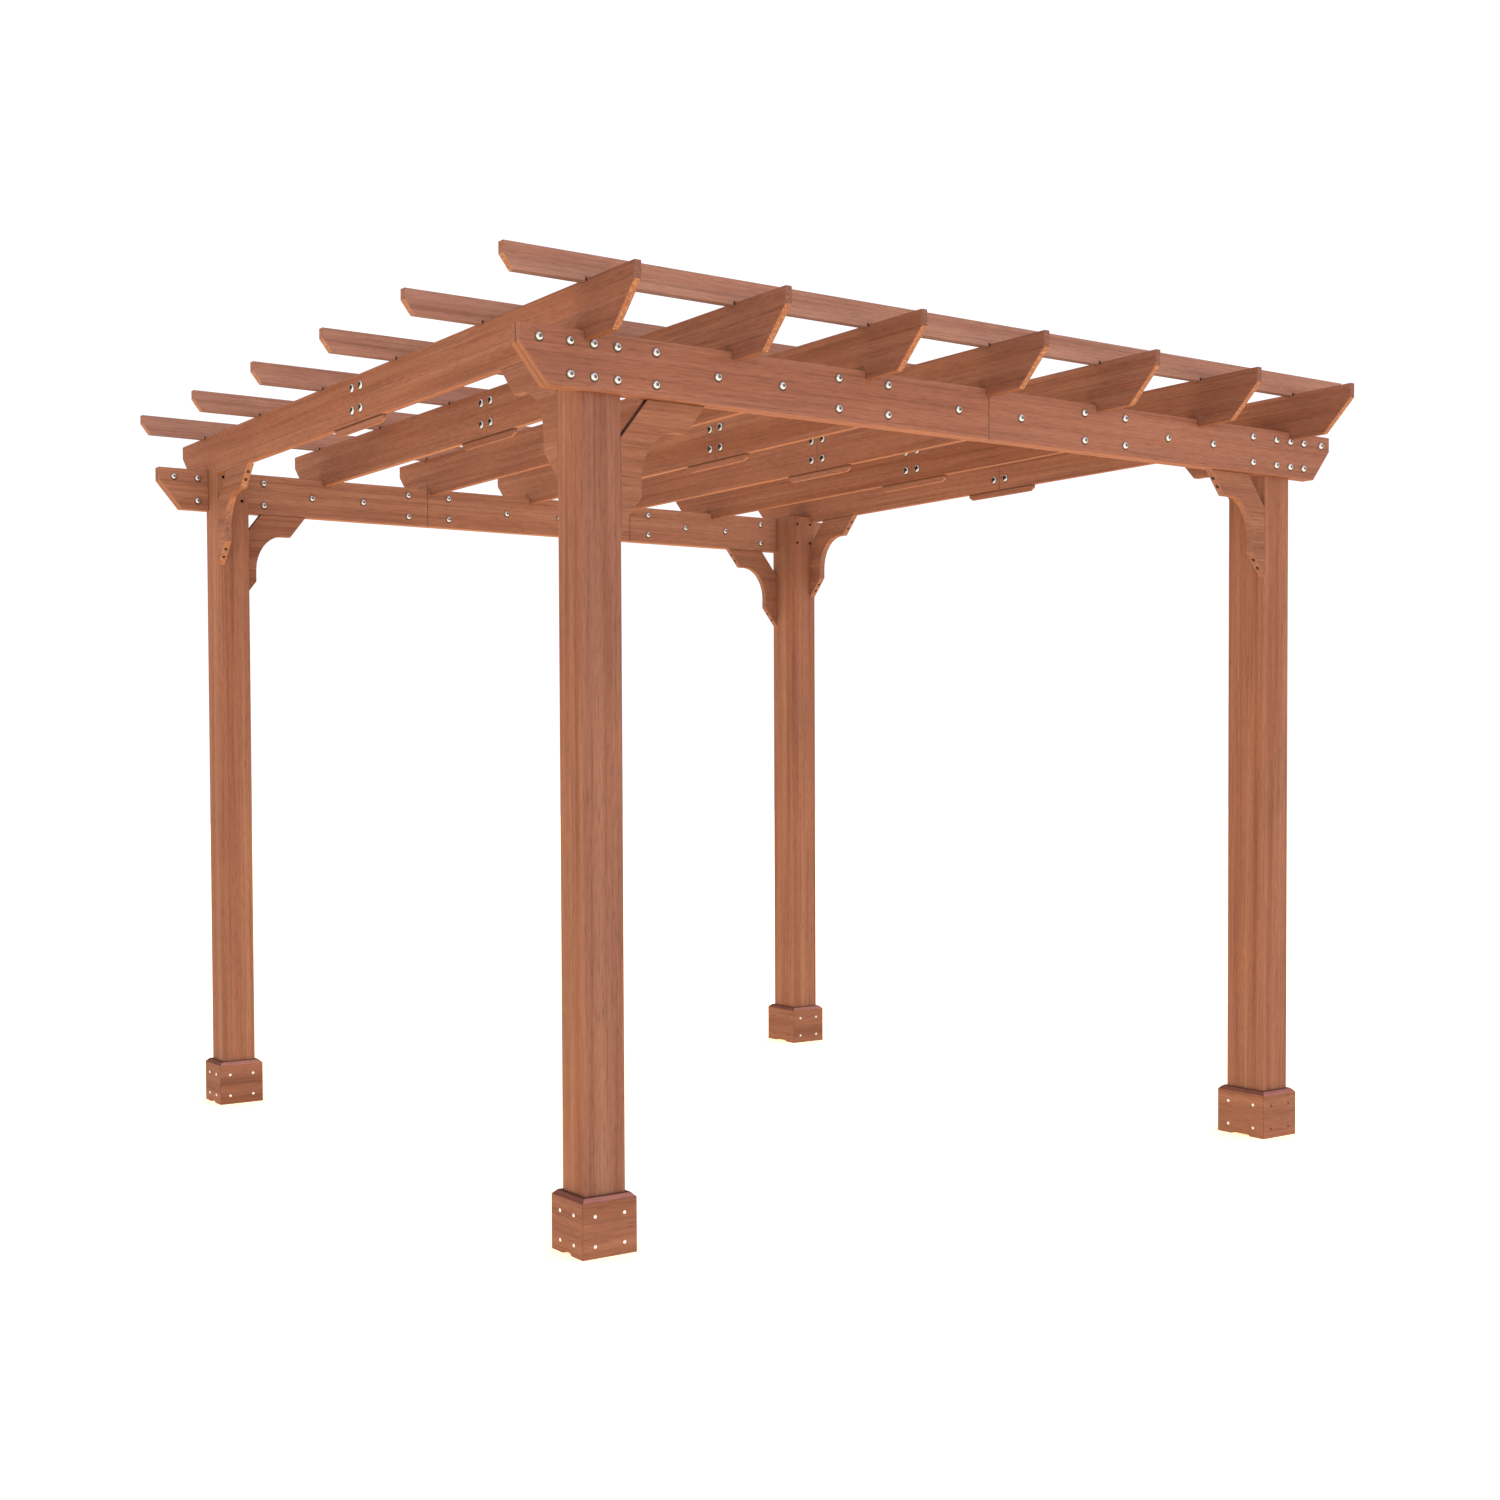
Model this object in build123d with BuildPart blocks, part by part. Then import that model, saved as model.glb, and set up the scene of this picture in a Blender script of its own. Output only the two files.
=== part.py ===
from build123d import *
import os

# A free-standing garden pergola of stained softwood, at full size in millimetres.
# X runs along the two bolted beams, Y along the rafters, Z is up.
# The origin is on the ground, under the middle of the roof.

# Plan of the frame
post_spacing_x = 2449.0      # between post centres along the beams
frame_depth = 2648.0         # over the outer faces of the front and rear posts
beam_underside = 2078.0      # head room under the beams

# Posts, the right-hand pair being the deeper ones
post_width = 112.0
post_depth_left = 113.0
post_depth_right = 146.0
post_ease = 3.0

# Bores in a post's inner face, where the nuts of the beam's bolts are sunk
nut_bore = 12.0
nut_bore_depth = 30.0
nut_spacing_x = 65.0
nut_spacing_z = 78.5
nut_drop = 31.4              # from the post's top to the upper bores

# Skirting boards around the foot of each post
skirt_height = 147.0
skirt_thick = 20.0
skirt_chamfer = 11.0
skirt_gap = 0.6
skirt_notch_height = 6.5
skirt_notch_end = 55.0       # from the skirting's corner to the drain notch
skirt_notch_slope = 8.0

# Beams of two layers of board
board_height = 140.0
beam_outer_thick = 20.0
beam_inner_thick = 24.0
beam_overhang = 172.0        # past the outer face of a post
beam_end_upright = 45.0
beam_end_slope = 77.0
inner_joint = 443.5          # from the middle to a joint of the inner layer
joint_gap = 1.2
fit = 0.4
board_ease = 1.5             # bevel along the edges of every board

# Rafters in two halves, notched over the beams
rafter_count = 7
rafter_thick = 20.0
rafter_height = 140.0
rafter_notch = 22.0
rafter_overhang = 249.0      # past the outer face of a post
rafter_end_upright = 43.0
rafter_end_slope = 100.0

# Splice plates, each in a slot up the middle of its rafter's thickness
plate_length = 352.0
plate_height = 140.0
plate_thick = 10.0
plate_drop = 22.0            # below the rafter
plate_clip_length = 18.0
plate_clip_height = 11.0

# Purlins, notched over the rafters
purlin_count = 6
purlin_thick = 26.0
purlin_height = 64.5
purlin_lap = 5.5
purlin_setout = 18.5         # from the outer face of a post to the end purlin's middle
purlin_overhang = 218.0      # past the outer face of an end rafter
purlin_end_upright = 28.5
purlin_end_slope = 27.0

# Corner braces
brace_thick = 25.0
brace_drop = 314.0
brace_reach_x = 244.0        # along a beam
brace_reach_y = 296.0        # along a rafter
brace_tip = 75.0             # height of the sloped tip
brace_flat = 38.0            # straight stretch beside the tip
brace_clip = 99.0            # inner corner cut away

# Places that follow from these sizes
post_x = post_spacing_x / 2
side_face = post_x + post_width / 2
inner_side_face = post_x - post_width / 2
front_face = frame_depth / 2
beam_top = beam_underside + board_height
beam_half = side_face + beam_overhang
rafter_underside = beam_top - rafter_notch
rafter_top = rafter_underside + rafter_height
rafter_half = front_face + rafter_overhang
rafter_pitch = (2 * side_face - rafter_thick) / (rafter_count - 1)
purlin_underside = rafter_top - purlin_lap
purlin_top = purlin_underside + purlin_height
purlin_half = side_face + purlin_overhang
purlin_spacing = 2 * (front_face + purlin_setout) / (purlin_count - 1)

SIDES = {"left": -1, "right": 1}
ENDS = {"front": -1, "rear": 1}
POST_DEPTH = {"left": post_depth_left, "right": post_depth_right}

os.makedirs("parts", exist_ok=True)


def save(piece, name):
    """Label a finished piece and write it under its own name."""
    piece.label = name
    export_step(piece, "parts/" + name + ".step")


def ease(board, facing):
    """Bevel the edges around the broad faces of the boards in a piece."""
    chamfer(board.faces().filter_by(facing).edges(), length=board_ease)


def post_middle_y(side, end):
    """Distance along Y of a post's centre line."""
    return ENDS[end] * (front_face - POST_DEPTH[side] / 2)


def post_inner_y(side, end):
    """Distance along Y of the post's face that looks under the roof."""
    return ENDS[end] * (front_face - POST_DEPTH[side])


def make_post(side, end):
    """A square-cut post with eased long edges, level with the beams at its top."""
    with BuildPart() as post:
        with BuildSketch(Plane.XY):
            with Locations((SIDES[side] * post_x, post_middle_y(side, end))):
                Rectangle(post_width, POST_DEPTH[side])
        extrude(amount=beam_top)
        fillet(post.edges().filter_by(Axis.Z), radius=post_ease)
        with BuildSketch(Plane.XZ.offset(-post_inner_y(side, end))):
            with Locations((SIDES[side] * post_x, beam_top - nut_drop - nut_spacing_z / 2)):
                with GridLocations(nut_spacing_x, nut_spacing_z, 2, 2):
                    Circle(nut_bore / 2)
        extrude(amount=-ENDS[end] * nut_bore_depth, mode=Mode.SUBTRACT)
    return post.part


def make_skirt(side, end):
    """Four mitred boards around a post's foot, the two side boards with a drain notch."""
    depth = POST_DEPTH[side]
    outer_width = post_width + 2 * skirt_thick
    outer_depth = depth + 2 * skirt_thick
    middle = (SIDES[side] * post_x, post_middle_y(side, end))
    corner = outer_width + outer_depth
    with BuildPart() as skirt:
        with BuildSketch(Plane.XY):
            with Locations(middle):
                Rectangle(outer_width, outer_depth)
        extrude(amount=skirt_height)
        chamfer(skirt.faces().sort_by(Axis.Z)[-1].edges(), length=skirt_chamfer)
        with BuildSketch(Plane.XY):
            with Locations(middle):
                Rectangle(post_width, depth)
        extrude(amount=skirt_height, mode=Mode.SUBTRACT)
        # Mitre joints, on the diagonal of each corner
        with BuildSketch(Plane.XY):
            for turn_x in (-1, 1):
                for turn_y in (-1, 1):
                    inner = (middle[0] + turn_x * post_width / 2, middle[1] + turn_y * depth / 2)
                    with Locations(Location(inner, 45 * turn_x * turn_y)):
                        Rectangle(4 * skirt_thick, skirt_gap)
        extrude(amount=skirt_height, mode=Mode.SUBTRACT)
        # Drain notches in the side boards
        notch_half = outer_depth / 2 - skirt_notch_end
        with BuildSketch(Plane.YZ.offset(middle[0] - corner)):
            with BuildLine():
                Polyline(
                    (middle[1] - notch_half, 0),
                    (middle[1] - notch_half + skirt_notch_slope, skirt_notch_height),
                    (middle[1] + notch_half - skirt_notch_slope, skirt_notch_height),
                    (middle[1] + notch_half, 0),
                    close=True,
                )
            make_face()
        extrude(amount=2 * corner, mode=Mode.SUBTRACT)
    return skirt.part


def board_end(half, turn, upright, slope, underside, top):
    """Points of a board's end from its top corner to where its underside starts."""
    return [
        (turn * half, top),
        (turn * half, top - upright),
        (turn * (half - slope), underside),
    ]


def lengthwise_plane(end, depth_1, depth_2):
    """Upright plane along X at the rearmost of two depths inside a post's outer face."""
    return Plane.XZ.offset(-max(ENDS[end] * (front_face - depth) for depth in (depth_1, depth_2)))


def make_beam_face(side, end):
    """The outer layer of one half of a beam, bolted to the post's outer face."""
    turn = SIDES[side]
    tip = board_end(beam_half, turn, beam_end_upright, beam_end_slope, beam_underside, beam_top)
    middle = [(turn * joint_gap / 2, beam_underside), (turn * joint_gap / 2, beam_top)]
    with BuildPart() as board:
        with BuildSketch(lengthwise_plane(end, -beam_outer_thick, 0)):
            with BuildLine():
                Polyline(*(tip + middle), close=True)
            make_face()
        extrude(amount=beam_outer_thick)
        ease(board, Axis.Y)
    return board.part


def make_beam_lining(end):
    """The inner layer of a beam: three boards between the posts and a block past each post."""
    middle_height = beam_underside + board_height / 2
    start = inner_joint + joint_gap / 2
    stop = inner_side_face - fit
    block_start = side_face + fit
    with BuildPart() as lining:
        with BuildSketch(lengthwise_plane(end, 0, beam_inner_thick)):
            with Locations((0, middle_height)):
                Rectangle(2 * inner_joint - joint_gap, board_height)
            for turn in (-1, 1):
                with Locations((turn * (start + stop) / 2, middle_height)):
                    Rectangle(stop - start, board_height)
                tip = board_end(
                    beam_half, turn, beam_end_upright, beam_end_slope, beam_underside, beam_top
                )
                block = [(turn * block_start, beam_underside), (turn * block_start, beam_top)]
                with BuildLine():
                    Polyline(*(tip + block), close=True)
                make_face()
        extrude(amount=beam_inner_thick)
        ease(lining, Axis.Y)
    return lining.part


def rafter_left_face(number):
    """Distance along X of a rafter's left-hand face, counting from the left."""
    return -side_face + number * rafter_pitch


def plate_left_face(number):
    """Distance along X of the left-hand face of a rafter's splice plate."""
    return rafter_left_face(number) + (rafter_thick - plate_thick) / 2


def make_rafter(number):
    """Two halves of a rafter, butted at mid span, notched over the beams and slotted for a plate."""
    outer = front_face + beam_outer_thick + fit
    with BuildPart() as rafter:
        for turn in (-1, 1):
            seat = beam_inner_thick
            if number == 0:
                seat = post_depth_left
            if number == rafter_count - 1:
                seat = post_depth_right
            inner = front_face - seat - fit
            tip = board_end(
                rafter_half, turn, rafter_end_upright, rafter_end_slope, rafter_underside, rafter_top
            )
            notch = [
                (turn * outer, rafter_underside),
                (turn * outer, beam_top),
                (turn * inner, beam_top),
                (turn * inner, rafter_underside),
            ]
            middle = [
                (turn * joint_gap / 2, rafter_underside),
                (turn * joint_gap / 2, rafter_top),
            ]
            with BuildSketch(Plane.YZ.offset(rafter_left_face(number))):
                with BuildLine():
                    Polyline(*(tip + notch + middle), close=True)
                make_face()
            extrude(amount=rafter_thick)
        ease(rafter, Axis.X)
        slot_top = rafter_underside - plate_drop + plate_height + fit
        with BuildSketch(Plane.YZ.offset(plate_left_face(number))):
            with Locations((0, slot_top)):
                Rectangle(plate_length + 2 * fit, plate_height, align=(Align.CENTER, Align.MAX))
        extrude(amount=plate_thick, mode=Mode.SUBTRACT)
    return rafter.part


def make_splice_plate(number):
    """A plate across a rafter's joint, in its slot and a little lower than the rafter."""
    half = plate_length / 2
    bottom = rafter_underside - plate_drop
    with BuildPart() as plate:
        with BuildSketch(Plane.YZ.offset(plate_left_face(number))):
            with BuildLine():
                Polyline(
                    (-half + plate_clip_length, bottom),
                    (half - plate_clip_length, bottom),
                    (half, bottom + plate_clip_height),
                    (half, bottom + plate_height),
                    (-half, bottom + plate_height),
                    (-half, bottom + plate_clip_height),
                    close=True,
                )
            make_face()
        extrude(amount=plate_thick)
        ease(plate, Axis.X)
    return plate.part


def make_purlin(number):
    """A purlin with sloped ends, notched over every rafter."""
    y = (number - (purlin_count - 1) / 2) * purlin_spacing
    left = board_end(
        purlin_half, -1, purlin_end_upright, purlin_end_slope, purlin_underside, purlin_top
    )
    right = board_end(
        purlin_half, 1, purlin_end_upright, purlin_end_slope, purlin_underside, purlin_top
    )
    with BuildPart() as purlin:
        with BuildSketch(Plane.XZ.offset(-y - purlin_thick / 2)):
            with BuildLine():
                Polyline(*(left + right[::-1]), close=True)
            make_face()
            for rafter in range(rafter_count):
                seat_x = rafter_left_face(rafter) + rafter_thick / 2
                with Locations((seat_x, rafter_top - purlin_lap)):
                    Rectangle(rafter_thick + 2 * fit, 2 * purlin_lap, mode=Mode.SUBTRACT)
        extrude(amount=purlin_thick)
        ease(purlin, Axis.Y)
    return purlin.part


def make_brace(plane, reach, top, turn, corner):
    """A brace with sloped tips and a hollow curve, its inner corner cut away."""
    scale = reach / brace_drop
    straight = brace_tip + brace_flat
    bend = brace_drop - straight
    hollow = bend - brace_tip

    def at(across, down):
        return (corner + turn * across * scale, top - down)

    with BuildPart() as brace:
        with BuildSketch(plane):
            with BuildLine():
                Polyline(
                    at(bend, brace_tip),
                    at(brace_drop - brace_tip, brace_tip),
                    at(brace_drop, 0),
                    at(brace_clip, 0),
                    at(0, brace_clip),
                    at(0, brace_drop),
                    at(brace_tip, brace_drop - brace_tip),
                    at(brace_tip, bend),
                )
                EllipticalCenterArc(
                    center=at(bend, bend),
                    x_radius=hollow * scale,
                    y_radius=hollow,
                    start_angle=90 if turn > 0 else 0,
                    arc_size=90,
                )
            make_face()
        extrude(amount=brace_thick)
        ease(brace, plane)
    return brace.part


def make_beam_brace(side, end):
    """A brace from a post to the underside of a beam."""
    plane = lengthwise_plane(end, 0, brace_thick)
    corner = SIDES[side] * inner_side_face
    return make_brace(plane, brace_reach_x, beam_underside, -SIDES[side], corner)


def make_rafter_brace(side, end):
    """A brace from a post to the underside of an end rafter."""
    left_face = min(SIDES[side] * side_face, SIDES[side] * (side_face - brace_thick))
    corner = post_inner_y(side, end)
    return make_brace(Plane.YZ.offset(left_face), brace_reach_y, rafter_underside, -ENDS[end], corner)


# Posts, skirtings and braces, one of each kind at every corner
for end in ENDS:
    for side in SIDES:
        corner_name = end + "_" + side
        save(make_post(side, end), "post_" + corner_name)
        save(make_skirt(side, end), "skirting_" + corner_name)
        save(make_beam_brace(side, end), "beam_brace_" + corner_name)
        save(make_rafter_brace(side, end), "rafter_brace_" + corner_name)
        save(make_beam_face(side, end), "beam_face_" + corner_name)

# Inner layers of the beams
for end in ENDS:
    save(make_beam_lining(end), "beam_lining_" + end)

# Rafters with their splice plates, from left to right
for number in range(rafter_count):
    save(make_rafter(number), "rafter_" + str(number + 1))
    save(make_splice_plate(number), "splice_plate_" + str(number + 1))

# Purlins, from front to rear
for number in range(purlin_count):
    save(make_purlin(number), "purlin_" + str(number + 1))
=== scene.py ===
import math
import random

import bpy
from mathutils import Matrix, Vector


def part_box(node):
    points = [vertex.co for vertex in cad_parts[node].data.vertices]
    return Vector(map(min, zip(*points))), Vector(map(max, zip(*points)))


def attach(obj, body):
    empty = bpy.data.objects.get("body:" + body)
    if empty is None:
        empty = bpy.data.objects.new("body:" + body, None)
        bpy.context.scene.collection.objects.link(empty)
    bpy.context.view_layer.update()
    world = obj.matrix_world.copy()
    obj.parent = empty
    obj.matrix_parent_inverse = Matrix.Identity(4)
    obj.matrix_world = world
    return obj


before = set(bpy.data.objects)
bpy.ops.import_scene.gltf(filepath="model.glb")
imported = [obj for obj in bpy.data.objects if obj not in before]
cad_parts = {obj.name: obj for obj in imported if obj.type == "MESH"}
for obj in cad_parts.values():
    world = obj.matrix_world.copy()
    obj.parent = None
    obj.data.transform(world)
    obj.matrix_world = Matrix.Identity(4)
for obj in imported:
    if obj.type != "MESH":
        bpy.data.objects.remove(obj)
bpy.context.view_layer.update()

MM = 0.001

# Sizes read from the solids

POSTS = {
    (side, end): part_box("post_%s_%s" % (end, side)) for side in ("left", "right") for end in ("front", "rear")
}
RAFTERS = [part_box("rafter_%d" % number) for number in range(1, 8)]
PURLINS = [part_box("purlin_%d" % number) for number in range(1, 7)]
BEAM_LOW, BEAM_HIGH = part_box("beam_face_front_left")
LINING_LOW, LINING_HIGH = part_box("beam_lining_front")
RAFTER_UNDERSIDE = RAFTERS[0][0].z
PLATE_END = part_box("splice_plate_1")[1].y

# Places of the fixings, measured in the photograph

BEAM_MIDDLE = 4 * MM           # X about which the beams' bolts mirror
BEAM_ROWS = {"upper": 31.4 * MM, "middle": 71 * MM, "lower": 109.9 * MM}  # below the beam's top edge
BEAM_COLUMNS = (               # the rows that a column has, and how far from the middle such columns stand
    (("upper",), (1.405,)),
    (("upper", "lower"), (1.322, 1.258, 1.193, 1.084, 0.5255, 0.3615)),
    (("middle",), (0.903, 0.706, 0.115)),
)
COLUMNS_ON_POSTS = (1.258, 1.193)
NUT_ASIDE = 32.5 * MM          # from the post's middle
NUT_SUNK = 8 * MM              # behind the post's face
SPLICE_ASIDE = 31 * MM         # from the rafter's joint
SPLICE_ROWS = (36.5 * MM, 102.3 * MM)     # below the rafter's top edge
SKIRTING_ROWS = (29 * MM, 102 * MM)       # above the floor
SKIRTING_ASIDE = 41 * MM       # along X, from the skirting's middle
SKIRTING_INSET = 43 * MM       # along Y, from the skirting's corners
WORN_SKIRTING_BOARDS = (("right", "front", "front"), ("right", "rear", "left"))
BRACE_TIP = 75 * MM            # height of a brace's sloped tip
BRACE_SHARES = (0.34, 0.66)    # of that height

# Where the purlins' screws sit, from the rafter's upper left edge under the purlin's front face

PURLIN_SCREW = Vector((-1.0, -3.0, -3.5)) * MM
PURLIN_SCREW_WAY = (-0.8, -0.35, -0.5)
# where the black ring of painted shade at each screw's hole sits
PURLIN_MOUTH = Vector((-2.5, 0.3, 1.5)) * MM
PURLIN_MOUTH_WAY = (-0.3, -0.95, 0.0)


# Camera

def set_camera():
    """The photograph's view, as a fit of the frame's edges gave it."""
    heading, rise, roll = (math.radians(angle) for angle in (-35.1601, 1.6111, -0.2255))
    right = Vector((math.cos(heading), math.sin(heading), 0))
    up = Vector((-math.sin(heading) * math.sin(rise), math.cos(heading) * math.sin(rise), math.cos(rise)))
    back = right.cross(up)
    tilted_right = math.cos(roll) * right + math.sin(roll) * up
    tilted_up = math.cos(roll) * up - math.sin(roll) * right
    bpy.ops.object.camera_add()
    camera = bpy.context.object
    camera.name = "camera"
    turn = Matrix((tilted_right, tilted_up, back)).transposed().to_4x4()
    camera.matrix_world = Matrix.Translation((-3.5377, -5.2783, 1.204)) @ turn
    camera.data.sensor_fit = "HORIZONTAL"
    camera.data.lens = 45.475
    camera.data.shift_x = -0.00893
    camera.data.shift_y = 0.0406
    camera.data.clip_end = 100
    camera.data.dof.use_dof = False
    bpy.context.scene.camera = camera


# Materials

def linear(hex_colour):
    """An sRGB hex value as a linear colour."""
    values = [int(hex_colour[i:i + 2], 16) / 255 for i in (1, 3, 5)]
    return tuple(v / 12.92 if v <= 0.04045 else ((v + 0.055) / 1.055) ** 2.4 for v in values) + (1.0,)


def shade(value):
    """A neutral grey of that linear value."""
    return (value, value, value, 1.0)


def add_node(tree, kind, inputs=None, ramp=None, **settings):
    """Adds a shader node, with its settings, its sockets' values or links, and its colour stops."""
    node = tree.nodes.new(kind)
    for name, value in settings.items():
        setattr(node, name, value)
    for socket, value in (inputs or {}).items():
        if isinstance(value, bpy.types.NodeSocket):
            tree.links.new(value, node.inputs[socket])
        else:
            node.inputs[socket].default_value = value
    if ramp:
        stops = node.color_ramp.elements
        while len(stops) < len(ramp):
            stops.new(0.5)
        for stop, (place, colour) in zip(stops, ramp):
            stop.position = place
            stop.color = colour
    return node


def new_material(name):
    """A material, its node tree and its shader."""
    material = bpy.data.materials.new(name)
    material.use_nodes = True
    tree = material.node_tree
    return material, tree, tree.nodes["Principled BSDF"]


RING_GAP = 9 * MM  # between growth rings, drawn wider than real so that they show

# Patterns in the wood: width and length in mm, roughness of the noise, and the tint that it gives

WOOD_PATTERNS = {
    # faint long stripes
    "stripes": ((8, 600), 0.6, ((0.32, shade(0.78)), (0.46, shade(0.97)), (0.70, shade(1.06)))),
    # dashes of open fibre, drawn coarser than real so that they show
    "fibres": ((3, 40), 0.65, ((0.30, shade(0.76)), (0.44, shade(0.96)), (0.56, shade(1.0)), (0.72, shade(1.13)))),
    # uneven take-up of the stain over a hand's width
    "clouds": ((90, 380), 0.5, ((0.32, (0.93, 0.93, 0.95, 1.0)), (0.68, (1.05, 1.04, 1.02, 1.0)))),
}

UPRIGHT_END_TONES = ("#865844", "#946552", "#A07060")
# painted light: lighter tones for slanting cuts that look down, as lit from below
TORN_END_TONES = ("#A56C50", "#B17858", "#CE9C7B")
PLANED_END_TONES = ("#98644B", "#9B674D", "#9F6B50")
# painted light: warm orange on faces that look down, for light bounced up from the floor
ORANGE_UNDERSIDE = (1.18, 1.06, 0.82, 1.0)
# painted shade: a grey darkening of the purlins' faces that look down
DUSTY_UNDERSIDE = (0.72, 0.74, 0.76, 1.0)


def along_boards(tree, place, spot, mitre):
    """Coordinates that swap X and Y on the left and right ones of four boards that meet in mitres."""
    middle, half = mitre
    apart = add_node(tree, "ShaderNodeVectorMath", {0: place, 1: middle}, operation="SUBTRACT")
    aside = add_node(tree, "ShaderNodeVectorMath", {0: apart.outputs[0]}, operation="ABSOLUTE")
    past = add_node(tree, "ShaderNodeVectorMath", {0: aside.outputs[0], 1: half}, operation="SUBTRACT")
    reach = add_node(tree, "ShaderNodeSeparateXYZ", {"Vector": past.outputs[0]})
    turned = add_node(tree, "ShaderNodeMath", {0: reach.outputs["X"], 1: reach.outputs["Y"]},
                      operation="GREATER_THAN")
    across = add_node(tree, "ShaderNodeCombineXYZ",
                      {"X": spot.outputs["Y"], "Y": spot.outputs["X"], "Z": spot.outputs["Z"]})
    return add_node(tree, "ShaderNodeMix", {0: turned.outputs[0], 4: place, 5: across.outputs[0]},
                    data_type="VECTOR").outputs[1]


def end_grain(tree, pores, spot, facing, layers, torn, slope_tones):
    """The colour of cut ends: open pores, and slanting cuts that look down in the slope's tones, up to the given
    share; by default these tones are lighter, painted light from below.
    """
    speckle = add_node(tree, "ShaderNodeTexNoise", {"Vector": pores, "Scale": 1.0, "Detail": 2.0, "Roughness": 0.6})
    upright, slanting = (
        add_node(tree, "ShaderNodeValToRGB", {"Fac": speckle.outputs["Fac"]},
                 ramp=[(stop, linear(tone)) for stop, tone in zip(stops, tones)])
        for stops, tones in (((0.36, 0.50, 0.66), UPRIGHT_END_TONES), ((0.40, 0.54, 0.66), slope_tones)))
    # slanting cuts that look down take the slope's tones, which by default are painted lighter for light from below
    under = add_node(tree, "ShaderNodeMapRange",
                     {"Value": facing.outputs["Z"], "From Min": -0.2, "From Max": -0.5, "To Max": torn})
    ends = add_node(tree, "ShaderNodeMix", {0: under.outputs[0], 6: upright.outputs["Color"],
                                            7: slanting.outputs["Color"]}, data_type="RGBA")
    if layers is not None:
        # the joint between the beam's two layers is a dark line in its end
        apart = add_node(tree, "ShaderNodeMath", {0: spot.outputs["Y"], 1: layers}, operation="SUBTRACT")
        joint = add_node(tree, "ShaderNodeMath", {0: apart.outputs[0], 1: 0.0, 2: 2 * MM}, operation="COMPARE")
        ends = add_node(tree, "ShaderNodeMix", {0: joint.outputs[0], 6: ends.outputs[2], 7: linear("#6E3818")},
                        data_type="RGBA")
    return ends.outputs[2]


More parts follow.
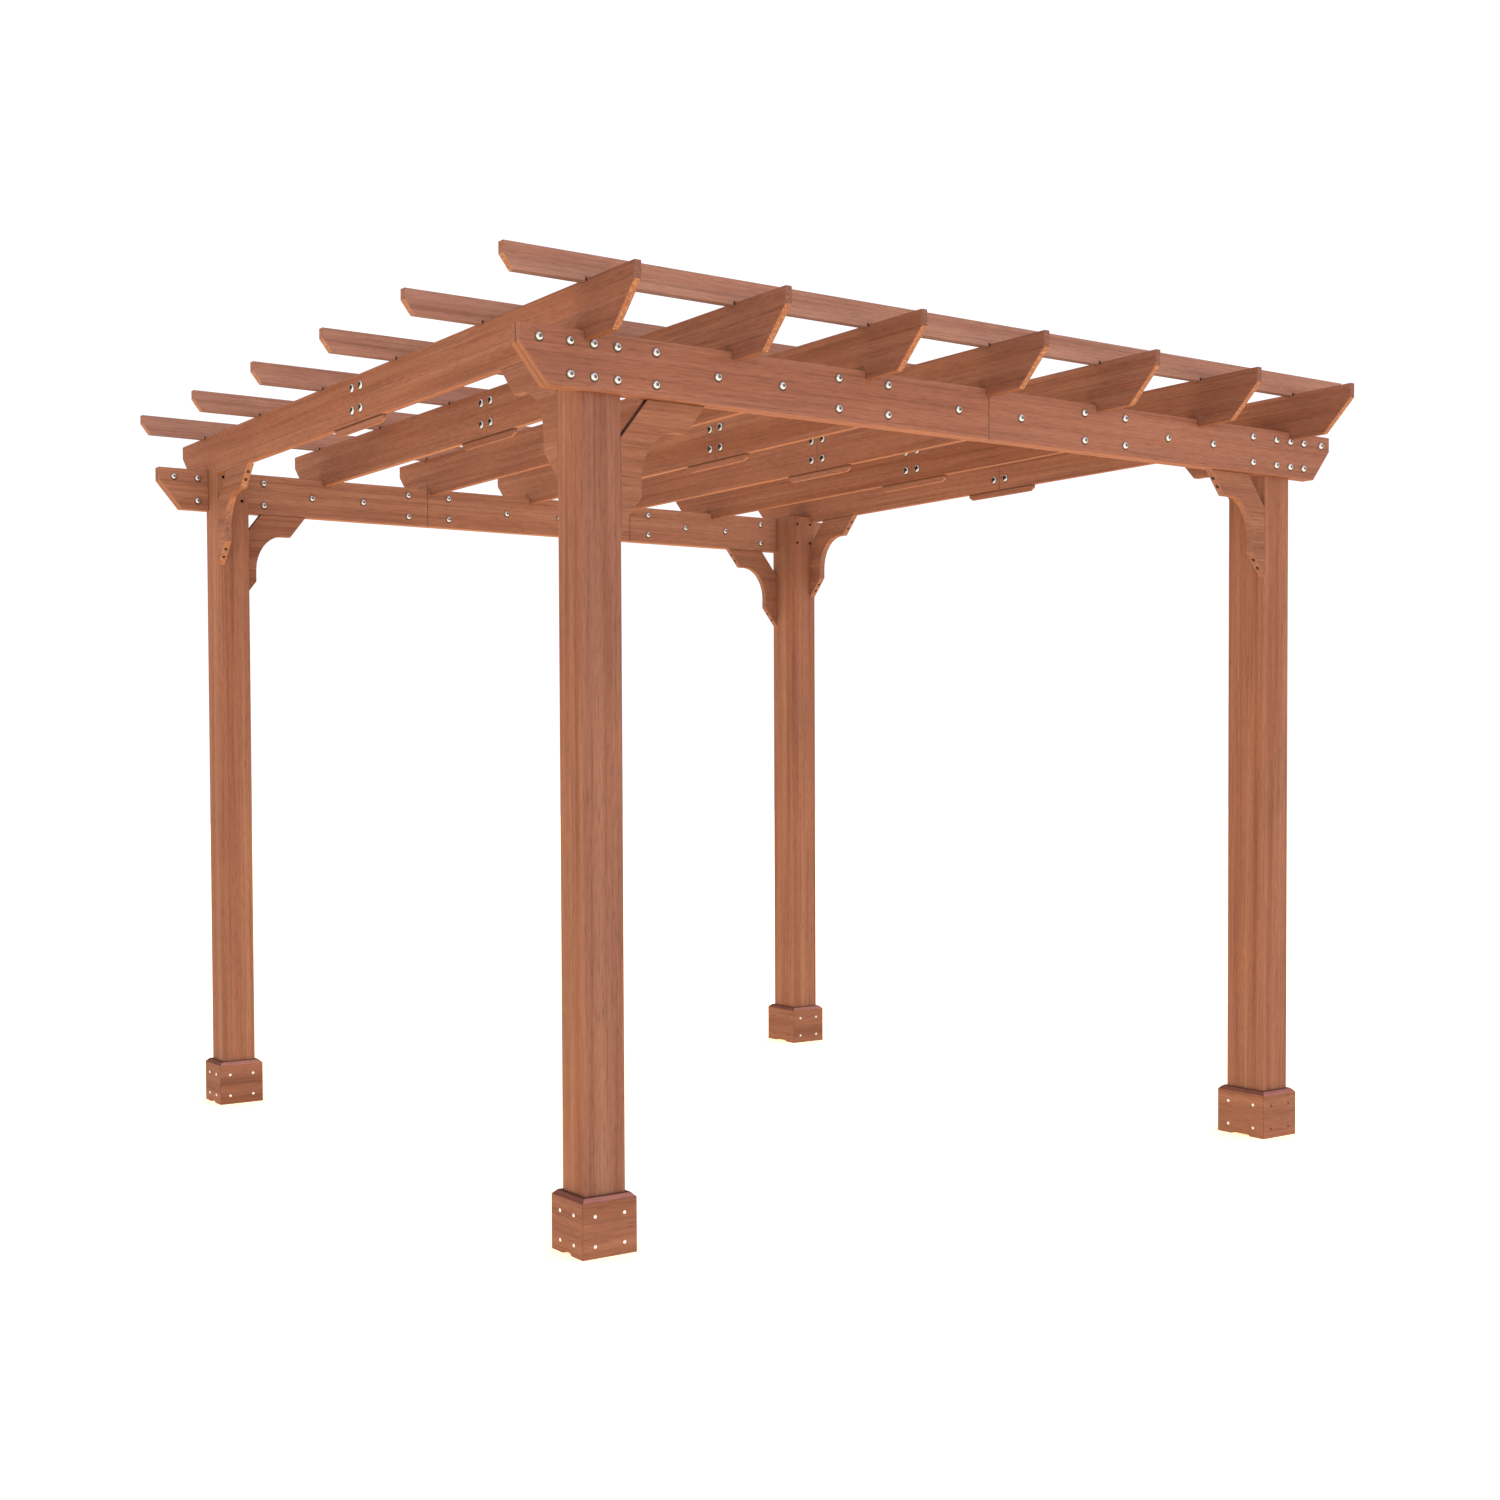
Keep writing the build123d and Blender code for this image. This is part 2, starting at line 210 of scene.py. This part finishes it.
def stained_softwood(name, grain, seed, tones, mitre=None, layers=None, torn=1.0, slope_tones=TORN_END_TONES,
                     weathered=False, underside=ORANGE_UNDERSIDE, tail=None, gutter=None, seam=None, corner=None):
    """Planed softwood under a red-brown stain: faint long stripes, fine fibres, growth rings, open end grain.

    The grain runs along that axis, and the seed picks the board's stretch of wood. The values after mitre are the
    board's marks and its painted light and shade, each explained where it is made.
    """
    material, tree, surface = new_material(name)
    chance = random.Random(seed)
    axis = "XYZ".index(grain)
    place = add_node(tree, "ShaderNodeTexCoord").outputs["Object"]
    spot = add_node(tree, "ShaderNodeSeparateXYZ", {"Vector": place})
    facing = add_node(tree, "ShaderNodeSeparateXYZ",
                      {"Vector": add_node(tree, "ShaderNodeNewGeometry").outputs["Normal"]})
    if mitre:
        place = along_boards(tree, place, spot, mitre)
    start = [chance.uniform(-9, 9) for _ in range(3)]
    shifted = add_node(tree, "ShaderNodeVectorMath", {0: place, 1: start}, operation="ADD").outputs[0]

    def stretched(across_mm, along_mm):
        """Coordinates in which a pattern is across_mm wide and along_mm long."""
        scale = [1 / (across_mm * MM)] * 3
        scale[axis] = 1 / (along_mm * MM)
        return add_node(tree, "ShaderNodeMapping", {"Vector": shifted, "Scale": scale}).outputs[0]

    # bands of heartwood under the stain, 34 mm wide and metres long
    bands = add_node(tree, "ShaderNodeTexNoise",
                     {"Vector": stretched(34, 1700), "Scale": 1.0, "Detail": 1.0, "Roughness": 0.5})
    colour = add_node(tree, "ShaderNodeValToRGB", {"Fac": bands.outputs["Fac"]},
                      ramp=[(0.30 + 0.10 * i, linear(tone)) for i, tone in enumerate(tones)]).outputs["Color"]
    noises = {}
    for pattern, (size, roughness, tint) in WOOD_PATTERNS.items():
        noise = add_node(tree, "ShaderNodeTexNoise",
                         {"Vector": stretched(*size), "Scale": 1.0, "Detail": 2.0, "Roughness": roughness})
        noises[pattern] = noise.outputs["Fac"]
        tinted = add_node(tree, "ShaderNodeValToRGB", {"Fac": noises[pattern]}, ramp=tint)
        colour = add_node(tree, "ShaderNodeMix", {0: 1.0, 6: colour, 7: tinted.outputs["Color"]},
                          data_type="RGBA", blend_type="MULTIPLY").outputs[2]

    # growth rings about a pith outside the board, not quite parallel to it
    lean = [0.0, 0.0, 0.0]
    lean[(axis + 1) % 3] = math.radians(chance.uniform(-1.2, 1.2))
    lean[(axis + 2) % 3] = math.radians(chance.uniform(-1.2, 1.2))
    middle = [0.0, 0.0, 0.0]
    middle[(axis + 1) % 3] = chance.uniform(0.05, 0.12)
    middle[(axis + 2) % 3] = chance.uniform(-0.12, -0.05)
    pith = add_node(tree, "ShaderNodeMapping", {"Vector": place, "Rotation": lean, "Location": middle}).outputs[0]
    rings = add_node(tree, "ShaderNodeTexWave",
                     {"Vector": pith, "Scale": 2 * math.pi / (20 * RING_GAP), "Distortion": 2.2, "Detail": 2.0,
                      "Detail Scale": 0.35},
                     wave_type="RINGS", rings_direction=grain, wave_profile="SAW")
    latewood = add_node(tree, "ShaderNodeValToRGB", {"Fac": rings.outputs["Fac"]},
                        ramp=[(0.0, shade(1.0)), (0.55, shade(0.99)), (0.86, shade(0.90)), (1.0, shade(0.98))])
    colour = add_node(tree, "ShaderNodeMix", {0: 0.6, 6: colour, 7: latewood.outputs["Color"]},
                      data_type="RGBA", blend_type="MULTIPLY").outputs[2]

    # the board's marks and its painted light and shade: where each is, how it changes the colour, and its tint
    marks = []
    if not mitre:
        squared = add_node(tree, "ShaderNodeMath", {0: facing.outputs[axis], 1: facing.outputs[axis]},
                           operation="MULTIPLY")
        cut = add_node(tree, "ShaderNodeMapRange",
                       {"Value": squared.outputs[0], "From Min": 0.25, "From Max": 0.45})
        marks.append((cut, "MIX", end_grain(tree, stretched(6, 6), spot, facing, layers, torn, slope_tones)))
    if weathered:
        # painted light: the front face is tinted less red and more blue, for the cooler light falling on it
        front = add_node(tree, "ShaderNodeMapRange",
                         {"Value": facing.outputs["Y"], "From Min": -0.5, "From Max": -0.9})
        marks.append((front, "MULTIPLY", (0.93, 0.98, 1.08, 1.0)))

    # painted light and shade on faces that look down: by default a warm orange, for light bounced up from the floor;
    # the purlins get a grey painted shade instead
    below = add_node(tree, "ShaderNodeMapRange", {"Value": facing.outputs["Z"], "From Min": -0.6, "From Max": -0.8})
    marks.append((below, "MULTIPLY", underside))
    if tail is not None:
        # painted shade: the tail outside the beam is darkened, for the floor's bounced light that the beam cuts off
        outside = add_node(tree, "ShaderNodeMapRange",
                           {"Value": spot.outputs[axis], "From Min": tail + 60 * MM, "From Max": tail - 20 * MM})
        marks.append((outside, "MULTIPLY", (0.80, 0.80, 0.86, 1.0)))
    if gutter is not None:
        # painted shade: the rafter's underside beside the splice plate is made dark, for the shade in that corner
        away = add_node(tree, "ShaderNodeMath", {0: spot.outputs[axis]}, operation="ABSOLUTE")
        beside = add_node(tree, "ShaderNodeMath", {0: away.outputs[0], 1: gutter}, operation="LESS_THAN")
        dirt = add_node(tree, "ShaderNodeMath", {0: beside.outputs[0], 1: below.outputs[0]}, operation="MULTIPLY")
        marks.append((dirt, "MIX", linear("#4E3022")))
    if seam is not None:
        # painted shade: a dark strip along the board's top edge, for the shade in the joint there
        bottom, top = seam
        pooled = add_node(tree, "ShaderNodeMapRange",
                          {"Value": spot.outputs["Z"], "From Min": bottom, "From Max": top})
        marks.append((pooled, "MIX", linear("#6B4737")))
    if mitre:
        # painted light and shade: chamfers that face front and back are painted lighter and bluer, as lit from the
        # front; those that face left and right are painted darker, as shaded
        squared = add_node(tree, "ShaderNodeMath", {0: facing.outputs["Y"], 1: facing.outputs["Y"]},
                           operation="MULTIPLY")
        worn = add_node(tree, "ShaderNodeMix", {0: squared.outputs[0], 6: (0.66, 0.60, 0.70, 1.0),
                                                7: (2.2, 2.3, 3.4, 1.0)}, data_type="RGBA")
        slope = add_node(tree, "ShaderNodeMapRange", {"Value": facing.outputs["Z"], "From Min": 0.4, "From Max": 0.6})
        marks.append((slope, "MULTIPLY", worn.outputs[2]))
    if corner is not None:
        # painted shade: near its left edge the sloped face is made almost black, for the shade in that corner
        side, edge = corner
        sawn = add_node(tree, "ShaderNodeMapRange", {"Value": facing.outputs["Z"], "From Min": 0.4, "From Max": 0.5})
        near = add_node(tree, "ShaderNodeMapRange", {"Value": spot.outputs[side], "From Min": edge + 20 * MM,
                                                     "From Max": edge + 12 * MM})
        soaked = add_node(tree, "ShaderNodeMath", {0: sawn.outputs[0], 1: near.outputs[0]}, operation="MULTIPLY")
        marks.append((soaked, "MIX", linear("#42251A")))
    for where, change, tint in marks:
        colour = add_node(tree, "ShaderNodeMix", {0: where.outputs[0], 6: colour, 7: tint},
                          data_type="RGBA", blend_type=change).outputs[2]
    tree.links.new(colour, surface.inputs["Base Color"])

    # a flat sealed film that sinks into the pores
    dull = add_node(tree, "ShaderNodeMapRange", {"Value": noises["fibres"], "From Min": 0.3, "From Max": 0.7,
                                                 "To Min": 0.82, "To Max": 0.66})
    tree.links.new(dull.outputs[0], surface.inputs["Roughness"])
    surface.inputs["Specular IOR Level"].default_value = 0.12
    grain_relief = add_node(tree, "ShaderNodeBump",
                            {"Strength": 0.4, "Distance": 0.4 * MM, "Height": noises["fibres"]})
    ring_relief = add_node(tree, "ShaderNodeBump", {"Strength": 0.25, "Distance": 0.4 * MM,
                                                    "Height": rings.outputs["Fac"],
                                                    "Normal": grain_relief.outputs["Normal"]})
    tree.links.new(ring_relief.outputs["Normal"], surface.inputs["Normal"])
    return material


def coated_steel(name, tones, grain_mm, roughness, metallic):
    """Turned steel under a coat whose tone and sheen vary a little in patches."""
    material, tree, surface = new_material(name)
    place = add_node(tree, "ShaderNodeTexCoord").outputs["Object"]
    patches = add_node(tree, "ShaderNodeTexNoise",
                       {"Vector": place, "Scale": 1 / (grain_mm * MM), "Detail": 2.0}).outputs["Fac"]
    coat = add_node(tree, "ShaderNodeValToRGB", {"Fac": patches},
                    ramp=[(stop, linear(tone)) for stop, tone in zip((0.35, 0.65), tones)])
    tree.links.new(coat.outputs["Color"], surface.inputs["Base Color"])
    sheen = add_node(tree, "ShaderNodeMapRange", {"Value": patches, "To Min": roughness[0], "To Max": roughness[1]})
    tree.links.new(sheen.outputs[0], surface.inputs["Roughness"])
    surface.inputs["Metallic"].default_value = metallic
    return material


def zinc_plated_steel(name, cloudy, clear):
    """Blue-white zinc plating: a soft highlight, faintly cloudy from the plating bath."""
    return coated_steel(name, (cloudy, clear), grain_mm=4, roughness=(0.32, 0.46), metallic=1.0)


def blackened_steel(name, thick, thin):
    """A black oxide film: nearly black, with a soft grey sheen where the film is thin."""
    return coated_steel(name, (thick, thin), grain_mm=3, roughness=(0.5, 0.7), metallic=0.6)


FLOOR_TINT = (1.0, 0.80, 0.45, 1.0)
FLOOR_GLOW = 0.9


def matt_paper():
    """A pale studio sweep of matt paper, lit through from below so that it throws warm light upwards."""
    material, tree, surface = new_material("matt_paper")
    place = add_node(tree, "ShaderNodeTexCoord").outputs["Object"]
    pulp = add_node(tree, "ShaderNodeTexNoise", {"Vector": place, "Scale": 2.0})
    tint = add_node(tree, "ShaderNodeValToRGB", {"Fac": pulp.outputs["Fac"]},
                    ramp=[(0.3, shade(0.86)), (0.7, shade(0.88))])
    tree.links.new(tint.outputs["Color"], surface.inputs["Base Color"])
    surface.inputs["Roughness"].default_value = 0.9
    surface.inputs["Specular IOR Level"].default_value = 0.1
    surface.inputs["Emission Color"].default_value = FLOOR_TINT
    surface.inputs["Emission Strength"].default_value = FLOOR_GLOW
    return material


# Fixings

def deselect_all():
    """Leaves edit mode and selects nothing."""
    if bpy.context.object and bpy.context.object.mode != "OBJECT":
        bpy.ops.object.mode_set(mode="OBJECT")
    bpy.ops.object.select_all(action="DESELECT")


def select_top(piece):
    """Selects the faces that look up, in edit mode with only faces active."""
    bpy.ops.object.mode_set(mode="EDIT")
    bpy.ops.mesh.select_mode(type="FACE")
    bpy.ops.mesh.select_all(action="DESELECT")
    bpy.ops.object.mode_set(mode="OBJECT")
    for face in piece.data.polygons:
        face.select = face.normal.z > 0.9
    bpy.ops.object.mode_set(mode="EDIT")


def finish_piece(piece, edge):
    """Rounds the piece's edges and shades it by angle."""
    bpy.ops.object.mode_set(mode="OBJECT")
    rounding = piece.modifiers.new("rounding", "BEVEL")
    rounding.width = edge
    rounding.segments = 1
    rounding.limit_method = "ANGLE"
    rounding.angle_limit = math.radians(35)
    bpy.ops.object.modifier_apply(modifier=rounding.name)
    bpy.ops.object.shade_smooth_by_angle(angle=math.radians(40))


def cut_away(piece, cutter):
    """Takes the cutter's shape out of the piece."""
    carve = piece.modifiers.new("carve", "BOOLEAN")
    carve.operation = "DIFFERENCE"
    carve.object = cutter
    carve.solver = "EXACT"
    bpy.context.view_layer.objects.active = piece
    bpy.ops.object.modifier_apply(modifier=carve.name)
    bpy.data.objects.remove(cutter)


def round_head(radius_mm, base_mm, steps_mm, socket_mm, socket_depth_mm, socket_sides, materials):
    """A round head along +Z with a driving socket of the second material, a darker one as painted shade in the
    socket.

    Above its base it rises in steps, each an inset and a rise.
    """
    deselect_all()
    base = base_mm * MM
    bpy.ops.mesh.primitive_cylinder_add(vertices=20, radius=radius_mm * MM, depth=base, location=(0, 0, base / 2))
    head = bpy.context.object
    select_top(head)
    height = base
    for inset, rise in steps_mm:
        bpy.ops.mesh.inset(thickness=inset * MM)
        bpy.ops.transform.translate(value=(0, 0, rise * MM))
        height += rise * MM
    bpy.ops.object.mode_set(mode="OBJECT")
    deselect_all()
    bpy.ops.mesh.primitive_cylinder_add(vertices=socket_sides, radius=socket_mm * MM / 2,
                                        depth=2 * socket_depth_mm * MM, location=(0, 0, height))
    socket = bpy.context.object
    deselect_all()
    head.select_set(True)
    cut_away(head, socket)
    finish_piece(head, 0.3 * MM)
    for material in materials:
        head.data.materials.append(material)
    # painted shade: the socket's faces take the second, darker material
    for face in head.data.polygons:
        middle = face.center
        if math.hypot(middle.x, middle.y) < 0.49 * socket_mm * MM and middle.z < height - 0.3 * MM:
            face.material_index = 1
    return head


def dished_washer(radius_mm, thick_mm, rim_mm, material):
    """A round washer along +Z, dished inside its rim."""
    deselect_all()
    thick = thick_mm * MM
    bpy.ops.mesh.primitive_cylinder_add(vertices=24, radius=radius_mm * MM, depth=thick, location=(0, 0, thick / 2))
    washer = bpy.context.object
    select_top(washer)
    bpy.ops.mesh.inset(thickness=rim_mm * MM)
    bpy.ops.transform.translate(value=(0, 0, -0.4 * thick))
    finish_piece(washer, 0.25 * MM)
    washer.data.materials.append(material)
    return washer


def placed_copies(master, name, places):
    """Copies the master to each (point, direction) and joins the copies to one piece."""
    deselect_all()
    copies = []
    for point, direction in places:
        copy = master.copy()
        copy.data = master.data.copy()
        bpy.context.scene.collection.objects.link(copy)
        turn = Vector(direction).to_track_quat("Z", "Y").to_matrix().to_4x4()
        copy.data.transform(Matrix.Translation(Vector(point)) @ turn)
        copies.append(copy)
    for copy in copies:
        copy.select_set(True)
    bpy.context.view_layer.objects.active = copies[0]
    bpy.ops.object.join()
    piece = bpy.context.object
    piece.name = name
    piece.data.name = name
    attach(piece, "root")


def fit_beam_bolts(bolt, washer):
    """Bolts with dark washers on both sides of each beam, inside only where no post is in the way."""
    for end, way in (("front", -1), ("rear", 1)):
        outer = way * max(abs(BEAM_LOW.y), abs(BEAM_HIGH.y))
        inner = way * min(abs(LINING_LOW.y), abs(LINING_HIGH.y))
        places = []
        for rows, columns in BEAM_COLUMNS:
            for across in columns:
                for x in (BEAM_MIDDLE - across, BEAM_MIDDLE + across):
                    for row in rows:
                        z = BEAM_HIGH.z - BEAM_ROWS[row]
                        places.append(((x, outer, z), (0, way, 0)))
                        if across not in COLUMNS_ON_POSTS:
                            places.append(((x, inner, z), (0, -way, 0)))
        placed_copies(bolt, "beam_bolts_" + end, places)
        placed_copies(washer, "beam_washers_" + end, places)


def fit_splice_bolts(bolt, washer):
    """Four bolts with dark washers through each rafter and its splice plate."""
    for number, (low, high) in enumerate(RAFTERS, 1):
        places = []
        for y in (-SPLICE_ASIDE, SPLICE_ASIDE):
            for drop in SPLICE_ROWS:
                places.append(((low.x, y, high.z - drop), (-1, 0, 0)))
                places.append(((high.x, y, high.z - drop), (1, 0, 0)))
        placed_copies(bolt, "splice_bolts_%d" % number, places)
        placed_copies(washer, "splice_washers_%d" % number, places)


def fit_nuts(nut):
    """The nuts of the beam bolts, sunk in the bores of the posts' inner faces, all black as painted shade of the
    bores.
    """
    for (side, end), (low, high) in POSTS.items():
        way = 1 if end == "front" else -1
        face = high.y if end == "front" else low.y
        middle = (low.x + high.x) / 2
        places = [((middle + sign * NUT_ASIDE, face - way * NUT_SUNK, BEAM_HIGH.z - BEAM_ROWS[row]), (0, way, 0))
                  for sign in (-1, 1) for row in ("upper", "lower")]
        placed_copies(nut, "beam_nuts_%s_%s" % (end, side), places)


def fit_skirting_screws(screw, worn_screw):
    """Four screws on each skirting board, those on two boards worn brown."""
    for side, end in POSTS:
        low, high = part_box("skirting_%s_%s" % (end, side))
        middle = (low + high) / 2
        across = (high.y - low.y) / 2 - SKIRTING_INSET
        places = {"left": [], "right": [], "front": [], "rear": []}
        for z in SKIRTING_ROWS:
            for sign in (-1, 1):
                places["front"].append(((middle.x + sign * SKIRTING_ASIDE, low.y, z), (0, -1, 0)))
                places["rear"].append(((middle.x + sign * SKIRTING_ASIDE, high.y, z), (0, 1, 0)))
                places["left"].append(((low.x, middle.y + sign * across, z), (-1, 0, 0)))
                places["right"].append(((high.x, middle.y + sign * across, z), (1, 0, 0)))
        for face in places:
            kind = worn_screw if (side, end, face) in WORN_SKIRTING_BOARDS else screw
            placed_copies(kind, "skirting_screws_%s_%s_%s" % (end, side, face), places[face])


def fit_brace_screws(screw):
    """Two screws in each sloped tip of the braces, square to the slope, black as painted shade of their holes."""
    for side, end in POSTS:
        # the way in which each brace reaches from its post, first the one along X, then the one along Y
        inwards = {"beam_brace": 1 if side == "left" else -1, "rafter_brace": 1 if end == "front" else -1}
        for axis, kind in enumerate(inwards):
            low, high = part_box("%s_%s_%s" % (kind, end, side))
            turn = inwards[kind]
            corner = (low if turn > 0 else high)[axis]
            drop = high.z - low.z
            scale = (high[axis] - low[axis]) / drop
            direction = Vector((0, 0, -scale))
            direction[axis] = turn
            places = []
            for share in BRACE_SHARES:
                short = BRACE_TIP * share
                for across, down in ((short, drop - short), (drop - short, short)):
                    point = (low + high) / 2
                    point[axis] = corner + turn * across * scale
                    point.z = high.z - down
                    places.append((point, direction))
            placed_copies(screw, "%s_screws_%s_%s" % (kind, end, side), places)


def fit_purlin_screws(screw, mouth):
    """A slanted dark screw at each crossing, from the rafter's left face up into the purlin, with a black ring at its
    hole as painted shade.
    """
    for number, purlin in enumerate(PURLINS, 1):
        corners = [Vector((low.x, purlin[0].y, high.z)) for low, high in RAFTERS]
        placed_copies(screw, "purlin_screws_%d" % number,
                      [(corner + PURLIN_SCREW, PURLIN_SCREW_WAY) for corner in corners])
        placed_copies(mouth, "purlin_screw_mouths_%d" % number,
                      [(corner + PURLIN_MOUTH, PURLIN_MOUTH_WAY) for corner in corners])


def fit_fixings():
    """Models each kind of fixing once, copies it to its places and removes the model."""
    steel = zinc_plated_steel("zinc_plated_steel", "#D6DBDF", "#F0F4F8")
    socket_steel = zinc_plated_steel("zinc_plated_socket", "#857F77", "#A7A096")
    bright_steel = zinc_plated_steel("zinc_plated_screws", "#F0EFEB", "#FBFBF8")
    brown_steel = blackened_steel("worn_oxide_steel", "#4C3A31", "#6B5447")
    # painted shade: this nearly black steel stands for the shade in sockets, screw holes and bores
    black = blackened_steel("black_oxide_steel", "#140D0A", "#281B14")

    # heads in mm: radius, base, steps, then the socket's width, depth and number of sides
    # washers in mm: radius, thickness, rim
    beam_bolt = round_head(10, 4.5, ((1.5, 2.8), (2.0, 1.2), (1.5, 0.5)), 8, 3, 6, (steel, socket_steel))
    beam_washer = dished_washer(12, 1.4, 2, brown_steel)
    splice_bolt = round_head(12.2, 3.6, ((1.0, 1.6), (1.6, 0.8)), 7.4, 3, 6, (steel, black))
    splice_washer = dished_washer(14, 1.4, 2, brown_steel)
    # painted shade: the nuts are all black, for the shade deep in the posts' bores
    nut = round_head(5.8, 4.0, ((0.9, 0.8),), 5.5, 4.0, 16, (black, black))
    skirting_screw = round_head(4.8, 0.8, ((1.2, 1.0),), 3.2, 0.8, 4, (bright_steel, steel))
    worn_screw = round_head(4.2, 0.5, ((1.0, 0.6),), 3.0, 0.8, 4, (brown_steel, black))
    # painted shade: the brace screws are all black, for their shaded holes
    brace_screw = round_head(6.0, 0.3, ((1.0, 0.4),), 4.0, 0.6, 4, (black, black))
    purlin_screw = round_head(3.6, 1.4, ((0.9, 1.0),), 3.0, 1.0, 4, (black, brown_steel))
    # painted shade: a black ring at the mouth of each purlin screw's hole
    screw_mouth = dished_washer(3.8, 1.0, 0.8, black)

    fit_beam_bolts(beam_bolt, beam_washer)
    fit_splice_bolts(splice_bolt, splice_washer)
    fit_nuts(nut)
    fit_skirting_screws(skirting_screw, worn_screw)
    fit_brace_screws(brace_screw)
    fit_purlin_screws(purlin_screw, screw_mouth)
    for master in (beam_bolt, beam_washer, splice_bolt, splice_washer, nut, skirting_screw, worn_screw, brace_screw,
                   purlin_screw, screw_mouth):
        bpy.data.objects.remove(master)


# Wood on the solids

STAINS = {
    "post": ("#925D47", "#99644E", "#9D6952", "#A16D55", "#A57258"),
    "skirting": ("#8C5A45", "#94614C", "#98654F", "#9C6952", "#A06D56"),
    "brace": ("#8E5B46", "#94614B", "#98654F", "#9C6952", "#A06D56"),
    "front_beam": ("#97624F", "#9B6653", "#9E6955", "#A16C58", "#A4705B"),
    "rear_beam": ("#9E6A54", "#A36E58", "#A6725B", "#A9755E", "#AC7962"),
    "rafter": ("#965F46", "#9B644C", "#9F6952", "#A36D55", "#A7725A"),
    "deep_rafter": ("#8E573E", "#935C44", "#97614A", "#9B654D", "#9F6A52"),
    "purlin": ("#9F7060", "#A37464", "#A67868", "#A97B6B", "#AC7F6F"),
}
DEEP_RAFTERS = ("rafter_1", "rafter_6")


def dress(node, stain, grain, seed, **marks):
    """Gives a solid its own material of stained softwood."""
    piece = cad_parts[node]
    material = stained_softwood("stained_softwood_" + node, grain, seed, STAINS[stain], **marks)
    piece.data.materials.clear()
    piece.data.materials.append(material)


def dress_solids():
    """Gives each board its own stretch of wood, with the grain along it."""
    for seed, name in enumerate(sorted(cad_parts), 1):
        low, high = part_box(name)
        if name.startswith("post"):
            dress(name, "post", "Z", seed, weathered=name == "post_front_left")
        elif name.startswith("skirting"):
            dress(name, "skirting", "X", seed, mitre=((low + high) / 2, (high - low) / 2),
                  seam=(high.z - 2 * MM, high.z - 0.5 * MM))
        elif name.startswith("beam_brace"):
            dress(name, "brace", "X", seed, corner=("Y", low.y), torn=0.1)
        elif name.startswith("rafter_brace"):
            dress(name, "brace", "Y", seed, corner=("X", low.x), torn=0.1 if name.endswith("rear_right") else 0.5)
        elif name.startswith("rafter_"):
            dress(name, "deep_rafter" if name in DEEP_RAFTERS else "rafter", "Y", seed,
                  tail=BEAM_LOW.y, gutter=PLATE_END)
        elif name.startswith("splice"):
            dress(name, "rafter", "Y", seed, seam=(RAFTER_UNDERSIDE - 5 * MM, RAFTER_UNDERSIDE - 2 * MM))
        elif name.startswith("purlin"):
            dress(name, "purlin", "X", seed, torn=0.6, underside=DUSTY_UNDERSIDE)
        elif "front" in name:
            dress(name, "front_beam", "X", seed, layers=BEAM_HIGH.y, slope_tones=PLANED_END_TONES)
        else:
            dress(name, "rear_beam", "X", seed, layers=-BEAM_HIGH.y, slope_tones=PLANED_END_TONES)


# Studio

LAMP_PLACE = Vector((-0.5, -7.5, 7.0))
LAMP_AIM = Vector((0, 0, 1.2))


def lay_floor():
    """A pale sweep under the pergola."""
    deselect_all()
    bpy.ops.mesh.primitive_plane_add(size=60, location=(0, 0, 0))
    floor = bpy.context.object
    floor.name = "floor"
    floor.data.materials.append(matt_paper())


def light_studio():
    """A bright sky that is warm low on the left, and a soft lamp high in front."""
    world = bpy.data.worlds.new("studio")
    world.use_nodes = True
    tree = world.node_tree
    direction = add_node(tree, "ShaderNodeTexCoord").outputs["Generated"]
    split = add_node(tree, "ShaderNodeSeparateXYZ", {"Vector": direction})
    dome = add_node(tree, "ShaderNodeValToRGB", {"Fac": split.outputs["Z"]},
                    ramp=[(0.30, (1.04, 1.04, 1.10, 1.0)), (0.80, (0.70, 0.74, 0.84, 1.0))])
    left_side = add_node(tree, "ShaderNodeValToRGB", {"Fac": split.outputs["Z"]},
                         ramp=[(0.26, (1.46, 1.27, 1.04, 1.0)), (0.50, (0.56, 0.52, 0.50, 1.0))])
    left = add_node(tree, "ShaderNodeMapRange", {"Value": split.outputs["X"], "From Min": -0.1, "From Max": -0.7})
    sky = add_node(tree, "ShaderNodeMix", {0: left.outputs[0], 6: dome.outputs["Color"],
                                           7: left_side.outputs["Color"]}, data_type="RGBA")
    background = tree.nodes["Background"]
    tree.links.new(sky.outputs[2], background.inputs["Color"])
    background.inputs["Strength"].default_value = 1.05
    bpy.context.scene.world = world

    bpy.ops.object.light_add(type="AREA", location=LAMP_PLACE)
    lamp = bpy.context.object
    lamp.name = "key"
    lamp.data.size = 3.0
    lamp.data.energy = 30
    lamp.data.color = (0.96, 0.97, 1.0)
    lamp.rotation_euler = (LAMP_PLACE - LAMP_AIM).to_track_quat("Z", "Y").to_euler()
    bpy.context.scene.view_settings.view_transform = "Standard"


set_camera()
fit_fixings()
dress_solids()
lay_floor()
light_studio()
